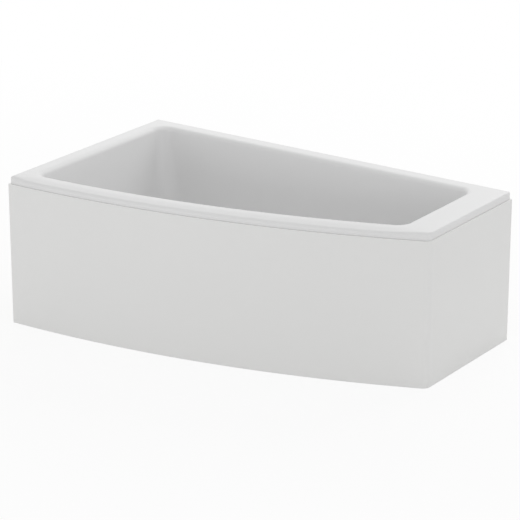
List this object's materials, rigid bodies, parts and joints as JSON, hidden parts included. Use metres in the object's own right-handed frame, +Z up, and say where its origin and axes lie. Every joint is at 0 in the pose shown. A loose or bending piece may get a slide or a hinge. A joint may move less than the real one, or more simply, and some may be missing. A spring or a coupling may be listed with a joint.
{
  "type": "asymmetric bathtub",
  "caption": "Built-in acrylic bath with a wide and a narrow end, a bowed front with a one-piece apron, adjustable feet, and a pop-up waste turned by the overflow knob.",
  "frame": {"origin": "centre of the part's footprint, on the floor", "axes": "+X from the wide end to the narrow end, +Y to the back wall, +Z up"},
  "size_m": [1.612, 0.91, 0.579],
  "materials": {
    "acrylic": "polished white acrylic",
    "apron_acrylic": "polished white acrylic",
    "glass_fibre": "rough sprayed glass fibre",
    "chipboard": "raw chipboard",
    "timber": "planed softwood",
    "galvanised_steel": "galvanised",
    "plated_screws": "yellow zinc plated",
    "zinc_stud": "bright zinc plated",
    "black_plastic": "moulded satin",
    "spring_steel": "blued spring steel",
    "chrome": "polished chrome plate",
    "rubber": "matt black rubber",
    "white_plastic": "moulded white plastic",
    "steel_pin": "turned steel",
    "cable_sheath": "extruded grey sheath"
  },
  "bodies": {
    "root": {"tub_shell": "acrylic", "grp_backing": "glass_fibre", "base_board": "chipboard", "back_batten": "timber", "left_batten": "timber", "front_batten": "timber", "deck_board": "timber", "wide_end_channel": "galvanised_steel", "narrow_end_channel": "galvanised_steel", "channel_screws": "plated_screws", "weld_nuts": "galvanised_steel", "lock_nuts": "galvanised_steel", "apron": "apron_acrylic", "apron_clips": "spring_steel", "apron_clip_screws": "plated_screws", "apron_brackets": "galvanised_steel", "apron_bracket_screws": "plated_screws", "wall_brackets": "galvanised_steel", "drain_flange": "chrome", "drain_upper_seal": "rubber", "drain_lower_seal": "rubber", "waste_body": "white_plastic", "trap_nut": "white_plastic", "trap_body": "white_plastic", "trap_cup": "white_plastic", "outlet_nut": "white_plastic", "outlet_pipe": "white_plastic", "overflow_gasket": "rubber", "overflow_body": "white_plastic", "overflow_rose": "chrome", "overflow_pipe": "white_plastic", "pipe_nuts": "white_plastic", "control_cable": "cable_sheath", "cable_clips": "black_plastic"},
    "knob": {"overflow_knob": "chrome", "knob_spindle": "steel_pin"},
    "plug": {"plug_cap": "chrome", "plug_seal": "rubber", "lift_pin": "steel_pin"},
    "foot_1": {"foot_pad_1": "black_plastic"},
    "stud_1": {"foot_stud_1": "zinc_stud"},
    "foot_2": {"foot_pad_2": "black_plastic"},
    "stud_2": {"foot_stud_2": "zinc_stud"},
    "foot_3": {"foot_pad_3": "black_plastic"},
    "stud_3": {"foot_stud_3": "zinc_stud"},
    "foot_4": {"foot_pad_4": "black_plastic"},
    "stud_4": {"foot_stud_4": "zinc_stud"}
  },
  "joints": [
    {"name": "knob_turn", "type": "hinge", "parent": "root", "child": "knob", "pos_m": [0.66004, 0.15102, 0.484], "axis": [-0.9781, 0, 0.2079], "range_deg": [0, 90]},
    {"name": "plug_lift", "type": "slide", "parent": "root", "child": "plug", "axis": [0, 0, 1], "range_m": [0, 0.0091]},
    {"name": "foot_1_height", "type": "slide", "parent": "root", "child": "foot_1", "axis": [0, 0, 1], "range_m": [-0.0175, 0.0175]},
    {"name": "foot_1_turn", "type": "hinge", "parent": "foot_1", "child": "stud_1", "pos_m": [-0.47, 0.36602, 0], "axis": [0, 0, 1], "range_deg": [-3620, 3620]},
    {"name": "foot_2_height", "type": "slide", "parent": "root", "child": "foot_2", "axis": [0, 0, 1], "range_m": [-0.0175, 0.0175]},
    {"name": "foot_2_turn", "type": "hinge", "parent": "foot_2", "child": "stud_2", "pos_m": [-0.47, -0.33793, 0], "axis": [0, 0, 1], "range_deg": [-3620, 3620]},
    {"name": "foot_3_height", "type": "slide", "parent": "root", "child": "foot_3", "axis": [0, 0, 1], "range_m": [-0.0175, 0.0175]},
    {"name": "foot_3_turn", "type": "hinge", "parent": "foot_3", "child": "stud_3", "pos_m": [0.32, 0.36602, 0], "axis": [0, 0, 1], "range_deg": [-3620, 3620]},
    {"name": "foot_4_height", "type": "slide", "parent": "root", "child": "foot_4", "axis": [0, 0, 1], "range_m": [-0.0175, 0.0175]},
    {"name": "foot_4_turn", "type": "hinge", "parent": "foot_4", "child": "stud_4", "pos_m": [0.32, -0.18457, 0], "axis": [0, 0, 1], "range_deg": [-3620, 3620]}
  ],
  "couplings": [
    {"joint": "plug_lift", "follows": "knob_turn", "m_per_rad": 0.0057296},
    {"joint": "foot_1_turn", "follows": "foot_1_height", "rad_per_m": 3590.4},
    {"joint": "foot_2_turn", "follows": "foot_2_height", "rad_per_m": 3590.4},
    {"joint": "foot_3_turn", "follows": "foot_3_height", "rad_per_m": 3590.4},
    {"joint": "foot_4_turn", "follows": "foot_4_height", "rad_per_m": 3590.4}
  ]
}
